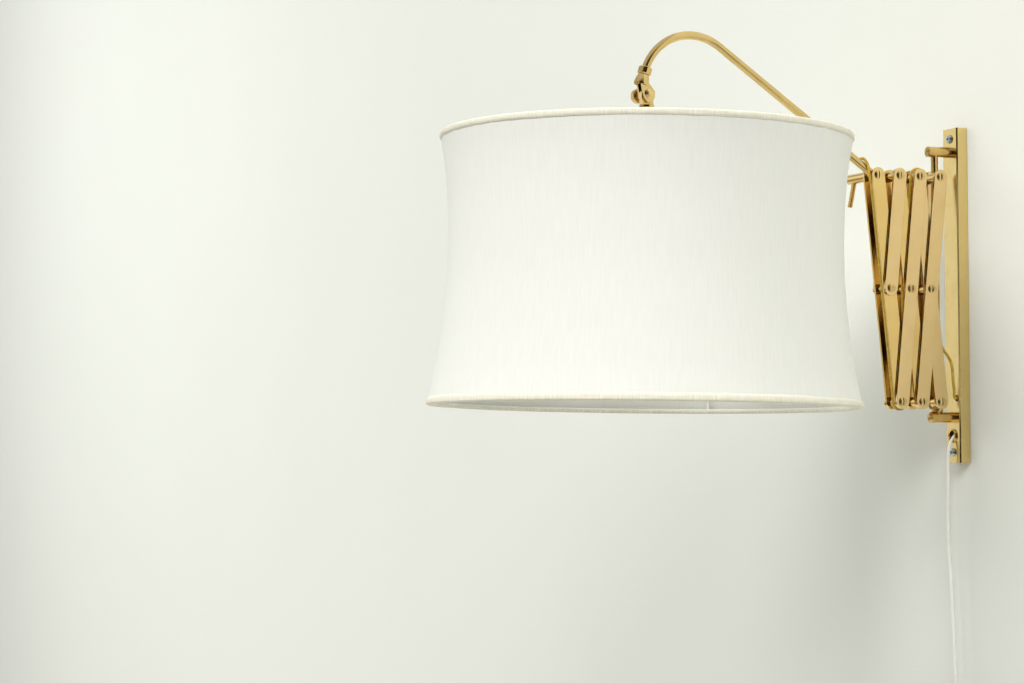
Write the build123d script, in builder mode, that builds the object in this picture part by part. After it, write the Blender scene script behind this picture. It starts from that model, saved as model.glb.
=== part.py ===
from build123d import *
import os
from math import acos, asin, atan2, cos, degrees, hypot, pi, radians, sin, tan

# Swing arm wall sconce, millimetres. The origin is on the wall, at the middle of the wall
# plate's back. +Z is up, the room is on the -Y side, and the scissors fold in the Y-Z plane.

# ---- wall plate, studs and swing rod ----
PLATE_W = 25.0
PLATE_H = 320.0
PLATE_D = 11.4
PLATE_WALL = 2.0
PLATE_EDGE = 1.2
BOLT_SPACING = 300.0
BOLT_HOLE_R = 2.75
STUD_R = 5.0
STUD_TIP_Y = -38.4
STUD_TOP_Z = 137.0
STUD_LOW_Z = -116.7
STUD_TAIL_R = 3.0
STUD_DOME = 2.0
STUD_NUT_H = 4.0
STUD_NUT_R = 5.8
ROD_Y = -28.7
ROD_R = 3.4
ROD_IN_STUD = 3.0
COLLAR_R = 5.6
COLLAR_GAP = 0.4
FERRULE_Z = -134.3
FERRULE_R = 6.8
FERRULE_HOLE_R = 5.0
FERRULE_PROUD = 1.6
CABLE_HOLE = (7.5, -98.5)
CABLE_HOLE_R = 3.2

# ---- scissors ----
LINK = 107.7
LEAN = 5.95
PIVOT_LOW_Z = -102.2
BAR_W = 14.0
BAR_T = 2.4
BAR_EDGE = 0.3
INNER_X = 6.4
OUTER_X = 9.2
CROSS_R = 5.0
BLOCK_R = 5.5
CROSS_END = 6.15
BLOCK_BORE = 0.06
SHANK_R = 2.5
PIVOT_PLAY = 0.05
HEAD_R = 4.2
HEAD_RIM = 0.6
HEAD_DOME = 1.0
SLOT_W = 0.9
SLOT_D = 0.8
THREAD_IN = 4.0
SHANK_IN = 3.5
BLOCK_SHANK_IN = 2.3
HEAD_PLAY = 0.05

# ---- arm ----
ARM_RISE = 34.6
ARM_RUN = 199.4
ARM_BEND_R = 50.3
ARM_BEND = 107.4
TUBE_R = 3.8
TUBE_BORE = 2.8
TUBE_SOCKET = 3.0
CABLE_OUT = 23.0
CABLE_OUT_R = 2.4

# ---- clamp handle ----
HANDLE_R = 5.0
HANDLE_LEN = 37.0
HANDLE_DOME = 2.2
HANDLE_GAP = 0.3
HANDLE_PIN_R = 2.3
HANDLE_PIN_LEN = 28.0
HANDLE_PIN_AT = 26.0
HANDLE_PIN_LEAN = 12.0

# ---- knuckle ----
KNUCKLE = (-335.2, 177.5)
SLEEVE_R = 6.3
SLEEVE_LEN = 7.0
SLEEVE_PLAY = 0.3
DOME_R = 7.0
DOME_LEN = 10.0
TONGUE_T = 5.6
TONGUE_R = 5.8
CHEEK_IN = 3.1
CHEEK_T = 2.8
FOOT_R = 7.2
FOOT_Z = 164.6
FOOT_H = 2.8
KNUCKLE_BOLT_R = 2.5
NUT_BOSS_R = 4.5
NUT_BOSS_END = 12.5
NUT_R = 7.0
NUT_T = 6.0
NUT_KNURLS = 24

# ---- shade ----
HEAD_AXIS_Y = -334.6
HEAD_TILT = -0.97
SHADE_TOP = 140.0
SHADE_LOW = -109.0
CLOTH = 1.0
TRIM_T = 1.0
TRIM_TOP_H = 6.6
TRIM_LOW_H = 7.4
TRIM_LIP = 3.2
COVER_TOP_R = 188.0
COVER_LOW_R = 197.2
WIRE_R = 1.7
STRUT_R = 1.5
STRUTS = 4
HUB_R = 15.0
HUB_T = 3.0
SPIDER_ARMS = 3

# ---- lamp holder and bulb ----
STEM_R = 5.0
STEM_BORE = 3.6
STEM_IN = 1.9
HOLDER_TOP = 132.0
HOLDER_SHOULDER = 112.0
HOLDER_LOW = 74.0
HOLDER_R = 20.0
BULB_R = 30.0
BULB_BASE_R = 13.0
BULB_LOW = -22.0
GLASS = 1.0
KEY_Z = 100.0

# ---- cable and cord ----
CABLE_R = 1.4
CABLE_X = 4.95
CORD_R = 1.5
BLOCK_Z = -70.0
COIL_R = 17.25
COIL_SECTION_R = 7.1
COIL_TOP_Z = -392.0
CORD_Y = -12.4
PLUG_TOP_Z = -462.0

os.makedirs("parts", exist_ok=True)


def save(builder, label):
    """Label a finished piece and write its STEP file."""
    builder.part.label = label
    export_step(builder.part, f"parts/{label}.step")


# ---------------------------------------------------------------------------------------
# Pivot places in the Y-Z plane. Column 0 is on the swing rod and each column is one half
# link further into the room. Row 0 is the lower pivot line, 1 the middle, 2 the upper.
# ---------------------------------------------------------------------------------------
COLUMN = LINK * sin(radians(LEAN))
ROW = LINK * cos(radians(LEAN))


def pivot(column, row):
    return (ROD_Y - column * COLUMN, PIVOT_LOW_Z + row * ROW)


SWING = pivot(0, 0)
SLIDE = pivot(0, 2)
REAR_MID = pivot(1, 1)
REAR_TOP = pivot(2, 2)
REAR_LOW = pivot(2, 0)
MIDDLE_MID = pivot(3, 1)
MIDDLE_TOP = pivot(4, 2)
FRONT_LOW = pivot(4, 0)
FRONT_MID = pivot(5, 1)
ARM_PIVOT = pivot(6, 2)
INNER_SEAT = INNER_X + BAR_T + HEAD_PLAY
OUTER_SEAT = OUTER_X + BAR_T + HEAD_PLAY


# ---------------------------------------------------------------------------------------
# Repeated shapes
# ---------------------------------------------------------------------------------------
def link_bars(name, low, high, holes, x_low):
    """The right and left flat bar of one link, drilled at each pivot in holes."""
    length = hypot(high[0] - low[0], high[1] - low[1])
    angle = degrees(atan2(high[1] - low[1], high[0] - low[0]))
    middle = ((low[0] + high[0]) / 2, (low[1] + high[1]) / 2)
    with BuildPart() as bars:
        for x_start in (x_low, -x_low - BAR_T):
            with BuildSketch(Plane.YZ.offset(x_start)) as outline:
                with Locations(middle):
                    SlotCenterToCenter(length, BAR_W, rotation=angle)
                with Locations(*holes):
                    Circle(SHANK_R + PIVOT_PLAY, mode=Mode.SUBTRACT)
            extrude(outline.sketch, amount=BAR_T)
        rims = [face.outer_wire().edges() for face in bars.faces().filter_by(Axis.X)]
        chamfer([edge for rim in rims for edge in rim], BAR_EDGE)
    save(bars, name)


def add_cross_rod(place, radius=CROSS_R, half=CROSS_END):
    """Round spacer rod along X, tapped at both ends for its pivot screws."""
    with Locations(Plane(origin=(0, *place), z_dir=(1, 0, 0))):
        Cylinder(radius, 2 * half)
    for side in (1, -1):
        with Locations(Plane(origin=(side * (half - THREAD_IN / 2), *place), z_dir=(1, 0, 0))):
            Cylinder(SHANK_R, THREAD_IN, mode=Mode.SUBTRACT)


def cap_arc(rim_r, rim_y, height):
    """Arc of a round cap, from its rim up to its middle on the axis."""
    sphere_r = (rim_r**2 + height**2) / (2 * height)
    half_turn = acos(1 - height / sphere_r) / 2
    middle = (sphere_r * sin(half_turn), rim_y + height - sphere_r * (1 - cos(half_turn)))
    return ThreePointArc((rim_r, rim_y), middle, (0, rim_y + height))


def add_screw(place, side, seat, tip, slot_turn):
    """Raised slotted pivot screw along X with its head seated at |X| = seat."""
    origin = (side * seat, *place)
    out = Vector(side, 0, 0)
    across = Vector(0, 1, 0)
    outline = Plane(origin=origin, x_dir=across, z_dir=across.cross(out))
    with BuildSketch(outline) as section:
        with BuildLine():
            foot = Line((0, tip - seat), (SHANK_R, tip - seat))
            shank = Line(foot @ 1, (SHANK_R, 0))
            under = Line(shank @ 1, (HEAD_R, 0))
            rim = Line(under @ 1, (HEAD_R, HEAD_RIM))
            crown = cap_arc(HEAD_R, HEAD_RIM, HEAD_DOME)
            Line(crown @ 1, foot @ 0)
        make_face()
    revolve(section.sketch, axis=Axis(origin, out))
    top = side * (seat + HEAD_RIM + HEAD_DOME)
    with Locations(Plane(origin=(top, *place), z_dir=out).rotated((0, 0, slot_turn))):
        Box(2.2 * HEAD_R, SLOT_W, 2 * SLOT_D, mode=Mode.SUBTRACT)


def corner_radii(label, points):
    """Largest smooth arc at each inner point of a route."""
    radii = []
    for before, here, after in zip(points, points[1:], points[2:]):
        run_in = here - before
        run_out = after - here
        turn = radians(run_in.get_angle(run_out))
        radii.append(0.45 * min(run_in.length, run_out.length) / tan(turn / 2))
    print(label, "radii", [round(value, 1) for value in radii])
    return radii


def tube_along(points, radius, radii):
    """Round solid along straight runs joined by tangent arcs."""
    with BuildPart() as tube:
        with BuildLine() as path:
            FilletPolyline(*points, radius=radii)
        with BuildSketch(path.line ^ 0):
            Circle(radius)
        sweep(path=path.line)
    route_length = sum(edge.length for edge in path.line.edges())
    expected = pi * radius**2 * route_length
    print("length", round(route_length), "volume", round(tube.part.volume), round(expected))
    return tube


# ---------------------------------------------------------------------------------------
# Wall plate: a folded brass channel, closed at both ends and open to the wall
# ---------------------------------------------------------------------------------------
with BuildPart() as wall_plate:
    with Locations((0, -PLATE_D / 2, 0)):
        Box(PLATE_W, PLATE_D, PLATE_H)
    front = wall_plate.faces().sort_by(Axis.Y)[0]
    chamfer(front.edges().filter_by(Axis.Z), PLATE_EDGE)
    with Locations((0, -(PLATE_D - PLATE_WALL) / 2, 0)):
        inside_w = PLATE_W - 2 * PLATE_WALL
        inside_h = PLATE_H - 2 * PLATE_WALL
        Box(inside_w, PLATE_D - PLATE_WALL, inside_h, mode=Mode.SUBTRACT)
    with BuildSketch(Plane.XZ.offset(PLATE_D)):
        with Locations((0, BOLT_SPACING / 2), (0, -BOLT_SPACING / 2)):
            Circle(BOLT_HOLE_R)
        with Locations((0, STUD_TOP_Z), (0, STUD_LOW_Z)):
            Circle(STUD_TAIL_R)
        with Locations((0, FERRULE_Z)):
            Circle(FERRULE_HOLE_R + 1)
        with Locations(CABLE_HOLE):
            Circle(CABLE_HOLE_R)
    extrude(amount=-PLATE_WALL, mode=Mode.SUBTRACT)
save(wall_plate, "wall_plate")

# ---- studs: turned brass, domed tip, threaded tail through the plate ----
with BuildPart() as rod_studs:
    for stud_z in (STUD_TOP_Z, STUD_LOW_Z):
        outline = Plane(origin=(0, -PLATE_D, stud_z), x_dir=(0, 0, 1), z_dir=(1, 0, 0))
        body = -STUD_TIP_Y - PLATE_D
        with BuildSketch(outline):
            with BuildLine():
                tail_end = -(PLATE_WALL + STUD_NUT_H + 1)
                tail = Line((0, tail_end), (STUD_TAIL_R, tail_end))
                thread = Line(tail @ 1, (STUD_TAIL_R, 0))
                seat = Line(thread @ 1, (STUD_R, 0))
                side = Line(seat @ 1, (STUD_R, body - STUD_DOME))
                tip = cap_arc(STUD_R, body - STUD_DOME, STUD_DOME)
                Line(tip @ 1, tail @ 0)
            make_face()
        revolve(axis=Axis((0, 0, stud_z), (0, 1, 0)))
    for stud_z, inward in ((STUD_TOP_Z, -1), (STUD_LOW_Z, 1)):
        hole_mid = stud_z + inward * (STUD_R - ROD_IN_STUD / 2 + 0.5)
        with Locations((0, ROD_Y, hole_mid)):
            Cylinder(ROD_R, ROD_IN_STUD + 1, mode=Mode.SUBTRACT)
save(rod_studs, "rod_studs")

with BuildPart() as stud_nuts:
    with BuildSketch(Plane.XZ.offset(PLATE_D - PLATE_WALL)):
        with Locations((0, STUD_TOP_Z), (0, STUD_LOW_Z)):
            RegularPolygon(STUD_NUT_R, 6)
            Circle(STUD_TAIL_R, mode=Mode.SUBTRACT)
    extrude(amount=-STUD_NUT_H)
save(stud_nuts, "stud_nuts")

# ---- swing rod between the studs, and the collar that the lower block rests on ----
with BuildPart() as swing_rod:
    rod_low = STUD_LOW_Z + STUD_R - ROD_IN_STUD
    rod_high = STUD_TOP_Z - STUD_R + ROD_IN_STUD
    with Locations((0, ROD_Y, (rod_low + rod_high) / 2)):
        Cylinder(ROD_R, rod_high - rod_low)
save(swing_rod, "swing_rod")

with BuildPart() as stop_collar:
    collar_low = STUD_LOW_Z + STUD_R
    collar_high = PIVOT_LOW_Z - BLOCK_R - COLLAR_GAP
    with Locations((0, ROD_Y, (collar_low + collar_high) / 2)):
        Cylinder(COLLAR_R, collar_high - collar_low)
        Cylinder(ROD_R, collar_high - collar_low, mode=Mode.SUBTRACT)
    chamfer(stop_collar.edges().filter_by(GeomType.CIRCLE).group_by(SortBy.RADIUS)[-1], 0.5)
save(stop_collar, "stop_collar")

# ---- cord ferrule: a flanged bush in the plate ----
with BuildPart() as cord_ferrule:
    outline = Plane(origin=(0, -PLATE_D, FERRULE_Z), x_dir=(0, 0, 1), z_dir=(1, 0, 0))
    with BuildSketch(outline):
        with BuildLine():
            Polyline(
                (FERRULE_HOLE_R, -PLATE_WALL - 2),
                (FERRULE_HOLE_R + 1, -PLATE_WALL - 2),
                (FERRULE_HOLE_R + 1, 0),
                (FERRULE_R, 0),
                (FERRULE_R, FERRULE_PROUD * 0.5),
                (FERRULE_R - 0.5, FERRULE_PROUD),
                (FERRULE_HOLE_R + 0.5, FERRULE_PROUD),
                (FERRULE_HOLE_R, FERRULE_PROUD - 0.5),
                close=True,
            )
        make_face()
    revolve(axis=Axis((0, 0, FERRULE_Z), (0, 1, 0)))
save(cord_ferrule, "cord_ferrule")

# ---- two-way connector inside the channel, where the cable meets the mains cord ----

with BuildPart() as connector:
    with Locations((0, -4.6, BLOCK_Z)):
        Box(15, 8, 20)
    with Locations(*[(x, -8.6, BLOCK_Z + z) for x in (-3.8, 3.8) for z in (-5, 5)]):
        Cylinder(1.8, 4, rotation=(90, 0, 0), mode=Mode.SUBTRACT)
    with Locations((0, -4.6, BLOCK_Z)):
        Box(1.2, 9, 6, mode=Mode.SUBTRACT)
save(connector, "connector")

# ---------------------------------------------------------------------------------------
# Swing block on the rod, at the foot of the scissors, and slide block at their top
# ---------------------------------------------------------------------------------------
def rod_block(place, half):
    with BuildPart() as block:
        add_cross_rod(place, BLOCK_R, half)
        with Locations((0, ROD_Y, place[1])):
            Cylinder(ROD_R + BLOCK_BORE, 3 * BLOCK_R, mode=Mode.SUBTRACT)
        ends = block.edges().filter_by(GeomType.CIRCLE).group_by(SortBy.RADIUS)[-1]
        chamfer(ends, 0.4)
    return block


swing_block = rod_block(SWING, CROSS_END)
save(swing_block, "swing_block")

with BuildPart() as swing_block_screws:
    add_screw(SWING, 1, INNER_SEAT, CROSS_END - BLOCK_SHANK_IN, 10)
    add_screw(SWING, -1, INNER_SEAT, CROSS_END - BLOCK_SHANK_IN, 50)
save(swing_block_screws, "swing_block_screws")

SLIDE_END = OUTER_X - 0.25
slide_block = rod_block(SLIDE, SLIDE_END)
save(slide_block, "slide_block")

with BuildPart() as slide_block_screws:
    add_screw(SLIDE, 1, OUTER_SEAT, SLIDE_END - SHANK_IN, 70)
    add_screw(SLIDE, -1, OUTER_SEAT, SLIDE_END - SHANK_IN, 20)
save(slide_block_screws, "slide_block_screws")

# ---------------------------------------------------------------------------------------
# Scissor bars. The inner bars lean into the room as they rise, the outer bars lean back.
# ---------------------------------------------------------------------------------------
link_bars("rear_inner_bars", SWING, REAR_TOP, (SWING, REAR_MID, REAR_TOP), INNER_X)
link_bars("rear_outer_bars", REAR_LOW, SLIDE, (REAR_LOW, REAR_MID, SLIDE), OUTER_X)
link_bars("middle_inner_bars", REAR_LOW, MIDDLE_TOP, (REAR_LOW, MIDDLE_MID, MIDDLE_TOP), INNER_X)
link_bars("middle_outer_bars", FRONT_LOW, REAR_TOP, (FRONT_LOW, MIDDLE_MID, REAR_TOP), OUTER_X)
link_bars("front_inner_bars", FRONT_LOW, ARM_PIVOT, (FRONT_LOW, FRONT_MID, ARM_PIVOT), INNER_X)
link_bars("front_outer_bars", FRONT_MID, MIDDLE_TOP, (FRONT_MID, MIDDLE_TOP), OUTER_X)


def cross_rods(places):
    with BuildPart() as rods:
        for place in places:
            add_cross_rod(place)
    return rods


def pivot_screws(places, first_turn):
    """A screw at each end of each cross rod, through both layers of bars."""
    with BuildPart() as screws:
        for index, place in enumerate(places):
            turn = first_turn + 55 * index
            for side in (1, -1):
                add_screw(place, side, OUTER_SEAT, CROSS_END - SHANK_IN, turn * side)
    return screws


REAR_RODS = (REAR_MID, REAR_TOP)
MIDDLE_RODS = (REAR_LOW, MIDDLE_MID, MIDDLE_TOP)
FRONT_RODS = (FRONT_LOW, FRONT_MID)
save(cross_rods(REAR_RODS), "rear_cross_rods")
save(pivot_screws(REAR_RODS, 65), "rear_pivot_screws")
save(cross_rods(MIDDLE_RODS), "middle_cross_rods")
save(pivot_screws(MIDDLE_RODS, 60), "middle_pivot_screws")
save(cross_rods(FRONT_RODS), "front_cross_rods")
save(pivot_screws(FRONT_RODS, 35), "front_pivot_screws")

# ---------------------------------------------------------------------------------------
# Arm: a cross rod in the front bars' tops carries a tube that rises and bends over
# ---------------------------------------------------------------------------------------
ARM_DIR = Vector(0, -cos(radians(ARM_RISE)), sin(radians(ARM_RISE)))
ARM_UP = Vector(0, sin(radians(ARM_RISE)), cos(radians(ARM_RISE)))
ARM_START = Vector(0, *ARM_PIVOT)
tube_start = ARM_START + ARM_DIR * TUBE_SOCKET
tube_bend = ARM_START + ARM_DIR * ARM_RUN
bend_centre = tube_bend - ARM_UP * ARM_BEND_R
end_angle = radians(90 - ARM_RISE + ARM_BEND)
tube_end = bend_centre + Vector(0, cos(end_angle), sin(end_angle)) * ARM_BEND_R
END_DIR = Vector(0, -sin(end_angle), cos(end_angle))

with BuildPart() as arm_cross_rod:
    add_cross_rod(ARM_PIVOT)
    with Locations(Plane(origin=ARM_START + ARM_DIR * (TUBE_SOCKET + 5), z_dir=ARM_DIR)):
        Cylinder(TUBE_R, 10, mode=Mode.SUBTRACT)
save(arm_cross_rod, "arm_cross_rod")

with BuildPart() as arm_rod_screw:
    add_screw(ARM_PIVOT, 1, INNER_SEAT, CROSS_END - SHANK_IN, 25)
save(arm_rod_screw, "arm_rod_screw")


def arm_path(start):
    with BuildLine() as path:
        run = Line(start, tube_bend)
        middle = radians(90 - ARM_RISE + ARM_BEND / 2)
        over = bend_centre + Vector(0, cos(middle), sin(middle)) * ARM_BEND_R
        ThreePointArc(run @ 1, over, tube_end)
    return path.line


with BuildPart() as arm_tube:
    tube_path = arm_path(tube_start)
    with BuildSketch(tube_path ^ 0):
        Circle(TUBE_R)
        Circle(TUBE_BORE, mode=Mode.SUBTRACT)
    sweep(path=tube_path)
    cable_rises = ARM_START + ARM_DIR * CABLE_OUT + ARM_UP * 0.4
    cable_leaves = ARM_START + Vector(1.6, -12.4, 16.6)
    hole_dir = cable_leaves - cable_rises
    with Locations(Plane(origin=cable_rises + hole_dir * 0.5, z_dir=hole_dir)):
        Cylinder(CABLE_OUT_R, hole_dir.length, mode=Mode.SUBTRACT)
save(arm_tube, "arm_tube")

# ---- clamp handle on the far end of the arm's cross rod ----
HANDLE_X = -(INNER_X + BAR_T + HANDLE_GAP)
with BuildPart() as clamp_handle:
    outline = Plane(origin=(HANDLE_X, *ARM_PIVOT), x_dir=(0, 1, 0), z_dir=(0, 0, 1))
    with BuildSketch(outline):
        with BuildLine():
            thread_end = HANDLE_X + CROSS_END - SHANK_IN
            tail = Line((0, thread_end), (SHANK_R, thread_end))
            thread = Line(tail @ 1, (SHANK_R, 0))
            seat = Line(thread @ 1, (HANDLE_R, 0))
            side = Line(seat @ 1, (HANDLE_R, HANDLE_LEN - HANDLE_DOME))
            end = cap_arc(HANDLE_R, HANDLE_LEN - HANDLE_DOME, HANDLE_DOME)
            Line(end @ 1, tail @ 0)
        make_face()
    revolve(axis=Axis((0, *ARM_PIVOT), (1, 0, 0)))
    pin_lean = radians(HANDLE_PIN_LEAN)
    PIN_DIR = Vector(0, -sin(pin_lean), -cos(pin_lean))
    PIN_ROOT = Vector(HANDLE_X - HANDLE_PIN_AT, *ARM_PIVOT)
    with Locations(Plane(origin=PIN_ROOT + PIN_DIR * 3.5, z_dir=PIN_DIR)):
        Cylinder(HANDLE_PIN_R, 6, mode=Mode.SUBTRACT)
save(clamp_handle, "clamp_handle")

with BuildPart() as clamp_pin:
    with Locations(Plane(origin=PIN_ROOT + PIN_DIR * (0.5 + HANDLE_PIN_LEN / 2), z_dir=PIN_DIR)):
        Cylinder(HANDLE_PIN_R, HANDLE_PIN_LEN)
    tip = clamp_pin.faces().sort_by(Axis.Z)[0]
    fillet(tip.edges(), 1.2)
save(clamp_pin, "clamp_pin")

# ---------------------------------------------------------------------------------------
# Knuckle: a sleeve and a forked dome on the tube's end, and an eye that carries the shade
# ---------------------------------------------------------------------------------------
KNUCKLE_EYE = Vector(*KNUCKLE)
sleeve_low = tube_end + END_DIR * (SLEEVE_LEN / 2)
with BuildPart() as knuckle_sleeve:
    with Locations(Plane(origin=tube_end, z_dir=END_DIR)):
        Cylinder(SLEEVE_R, SLEEVE_LEN)
    chamfer(knuckle_sleeve.edges().filter_by(GeomType.CIRCLE), 0.8)
    with Locations(Plane(origin=tube_end - END_DIR * 10, z_dir=END_DIR)):
        Cylinder(TUBE_R + SLEEVE_PLAY, 20, mode=Mode.SUBTRACT)
save(knuckle_sleeve, "knuckle_sleeve")

with BuildPart() as knuckle_dome:
    outline = Plane(origin=sleeve_low, x_dir=(1, 0, 0), z_dir=END_DIR.cross(Vector(1, 0, 0)) * -1)
    with BuildSketch(outline):
        with BuildLine():
            top = Line((0, 0), (SLEEVE_R - 1.4, 0))
            swell = (DOME_R - 0.7, DOME_LEN * 0.42)
            bulge = ThreePointArc(top @ 1, swell, (DOME_R, DOME_LEN - 1.6))
            rim = Line(bulge @ 1, (DOME_R, DOME_LEN))
            base = Line(rim @ 1, (0, DOME_LEN))
            Line(base @ 1, top @ 0)
        make_face()
    revolve(axis=Axis(sleeve_low, END_DIR))
    for x_low in (CHEEK_IN, -CHEEK_IN - CHEEK_T):
        with BuildSketch(Plane.YZ.offset(x_low)):
            with BuildLine():
                Polyline(
                    KNUCKLE_EYE + Vector(-7.2, 10.2),
                    KNUCKLE_EYE + Vector(0.4, 9.2),
                    KNUCKLE_EYE + Vector(6.2, 2.0),
                    KNUCKLE_EYE + Vector(6.0, -3.0),
                    KNUCKLE_EYE + Vector(3.8, -8.2),
                    KNUCKLE_EYE + Vector(-1.6, -8.2),
                    KNUCKLE_EYE + Vector(-4.6, -4.0),
                    close=True,
                )
            make_face()
            fillet(vertices().group_by(Axis.Y)[:-2], 1.0)
        extrude(amount=CHEEK_T)
    with Locations(Plane(origin=(0, *KNUCKLE), z_dir=(1, 0, 0))):
        Cylinder(KNUCKLE_BOLT_R + PIVOT_PLAY, 6 * CHEEK_IN, mode=Mode.SUBTRACT)
save(knuckle_dome, "knuckle_dome")

TILT_AXIS = Axis((0, *KNUCKLE), (1, 0, 0))


def save_tilted(builder, label):
    """Tilt a piece of the shade half about the knuckle's bolt and save it."""
    builder.part = builder.part.rotate(TILT_AXIS, HEAD_TILT)
    save(builder, label)


with BuildPart() as knuckle_foot:
    with Locations((0, HEAD_AXIS_Y, FOOT_Z + FOOT_H / 2)):
        Cylinder(FOOT_R, FOOT_H)
    chamfer(knuckle_foot.edges().filter_by(GeomType.CIRCLE), 0.5)
    with BuildSketch(Plane.YZ):
        with BuildLine():
            Polyline(
                (HEAD_AXIS_Y - TONGUE_R, FOOT_Z + FOOT_H - 0.6),
                (HEAD_AXIS_Y + TONGUE_R, FOOT_Z + FOOT_H - 0.6),
                KNUCKLE_EYE + Vector(TONGUE_R, 0),
                KNUCKLE_EYE + Vector(-TONGUE_R, 0),
                close=True,
            )
        make_face()
        with Locations(KNUCKLE):
            Circle(TONGUE_R)
    extrude(amount=TONGUE_T / 2, both=True)
    with Locations(Plane(origin=(0, *KNUCKLE), z_dir=(1, 0, 0))):
        Cylinder(KNUCKLE_BOLT_R, 2 * TONGUE_T, mode=Mode.SUBTRACT)
    with Locations((0, HEAD_AXIS_Y, FOOT_Z)):
        Cylinder(STEM_R, 2 * STEM_IN, mode=Mode.SUBTRACT)
save_tilted(knuckle_foot, "knuckle_foot")

CHEEK_OUT = CHEEK_IN + CHEEK_T
with BuildPart() as knuckle_bolt:
    outline = Plane(origin=(CHEEK_OUT, *KNUCKLE), x_dir=(0, 1, 0), z_dir=(0, 0, -1))
    with BuildSketch(outline):
        with BuildLine():
            bolt_end = -(CHEEK_OUT + NUT_BOSS_END + NUT_T + 0.8)
            tail = Line((0, bolt_end), (KNUCKLE_BOLT_R, bolt_end))
            shank = Line(tail @ 1, (KNUCKLE_BOLT_R, 0))
            under = Line(shank @ 1, (HEAD_R, 0))
            rim = Line(under @ 1, (HEAD_R, HEAD_RIM))
            crown = cap_arc(HEAD_R, HEAD_RIM, HEAD_DOME)
            Line(crown @ 1, tail @ 0)
        make_face()
    revolve(axis=Axis((0, *KNUCKLE), (1, 0, 0)))
save(knuckle_bolt, "knuckle_bolt")

with BuildPart() as knuckle_nut:
    boss_mid = -(CHEEK_OUT + 0.3 + NUT_BOSS_END) / 2
    with Locations(Plane(origin=(boss_mid, *KNUCKLE), z_dir=(1, 0, 0))):
        Cylinder(NUT_BOSS_R, NUT_BOSS_END - CHEEK_OUT - 0.3)
    with Locations(Plane(origin=(-NUT_BOSS_END - NUT_T / 2, *KNUCKLE), z_dir=(1, 0, 0))):
        Cylinder(NUT_R, NUT_T)
        with PolarLocations(NUT_R + 0.25, NUT_KNURLS):
            Cylinder(0.6, NUT_T, mode=Mode.SUBTRACT)
    with Locations(Plane(origin=(-NUT_BOSS_END, *KNUCKLE), z_dir=(1, 0, 0))):
        Cylinder(KNUCKLE_BOLT_R + PIVOT_PLAY, 30, mode=Mode.SUBTRACT)
save(knuckle_nut, "knuckle_nut")

# ---------------------------------------------------------------------------------------
# Shade, made upright about its own axis and then tilted with the knuckle's foot
# ---------------------------------------------------------------------------------------
HEAD_AXIS = Axis((0, HEAD_AXIS_Y, 0), (0, 0, 1))
RADIAL = Plane(origin=(0, HEAD_AXIS_Y, 0), x_dir=(1, 0, 0), z_dir=(0, -1, 0))
WAIST = (
    (COVER_TOP_R, SHADE_TOP - TRIM_T),
    (183.2, 109.0),
    (180.0, 68.0),
    (180.2, 12.0),
    (184.4, -36.0),
    (190.6, -77.0),
    (COVER_LOW_R, SHADE_LOW + TRIM_T),
)


def waist_face(inset, top, low):
    """Closed outline of the cloth's section, inset from its outer surface."""
    outer = [(r - inset, z) for r, z in WAIST]
    inner = [(r - inset - CLOTH, z) for r, z in reversed(WAIST)]
    outer[0], outer[-1] = (outer[0][0], top), (outer[-1][0], low)
    inner[0], inner[-1] = (inner[0][0], low), (inner[-1][0], top)
    return outer, inner


cloth_top = SHADE_TOP - TRIM_T
cloth_low = SHADE_LOW + TRIM_T
with BuildPart() as shade_cover:
    outer, inner = waist_face(0, cloth_top, cloth_low)
    with BuildSketch(RADIAL):
        with BuildLine():
            Spline(*outer)
            Line(outer[-1], inner[0])
            Spline(*inner)
            Line(inner[-1], outer[0])
        make_face()
    revolve(axis=HEAD_AXIS)
save_tilted(shade_cover, "shade_cover")

TRIM_IN = CLOTH + 2 * WIRE_R + 2.2


def trim_band(cloth_r, edge_z, height, up):
    """Bias tape folded over a rim: an outer leg, the fold and a short inner leg."""
    with BuildPart() as band:
        leg_z = edge_z - up * height
        lip_z = edge_z - up * TRIM_LIP
        with BuildSketch(RADIAL):
            with BuildLine():
                Polyline(
                    (cloth_r + 0.05, leg_z),
                    (cloth_r + TRIM_T, leg_z),
                    (cloth_r + TRIM_T, edge_z - up * 0.6),
                    (cloth_r + TRIM_T - 0.6, edge_z),
                    (cloth_r - TRIM_IN - TRIM_T + 0.6, edge_z),
                    (cloth_r - TRIM_IN - TRIM_T, edge_z - up * 0.6),
                    (cloth_r - TRIM_IN - TRIM_T, lip_z),
                    (cloth_r - TRIM_IN, lip_z),
                    (cloth_r - TRIM_IN, edge_z - up * TRIM_T),
                    (cloth_r + 0.05, edge_z - up * TRIM_T),
                    close=True,
                )
            make_face()
        revolve(axis=HEAD_AXIS)
    return band


top_trim = trim_band(COVER_TOP_R, SHADE_TOP, TRIM_TOP_H, 1)
save_tilted(top_trim, "top_trim")
bottom_trim = trim_band(COVER_LOW_R, SHADE_LOW, TRIM_LOW_H, -1)
save_tilted(bottom_trim, "bottom_trim")

TOP_RING_R = COVER_TOP_R - CLOTH - WIRE_R - 0.9
TOP_RING_Z = SHADE_TOP - TRIM_T - WIRE_R - 0.2
LOW_RING_R = COVER_LOW_R - CLOTH - WIRE_R - 1.1
LOW_RING_Z = SHADE_LOW + TRIM_T + WIRE_R + 0.2
HUB_Z = TOP_RING_Z - 2.3


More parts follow.
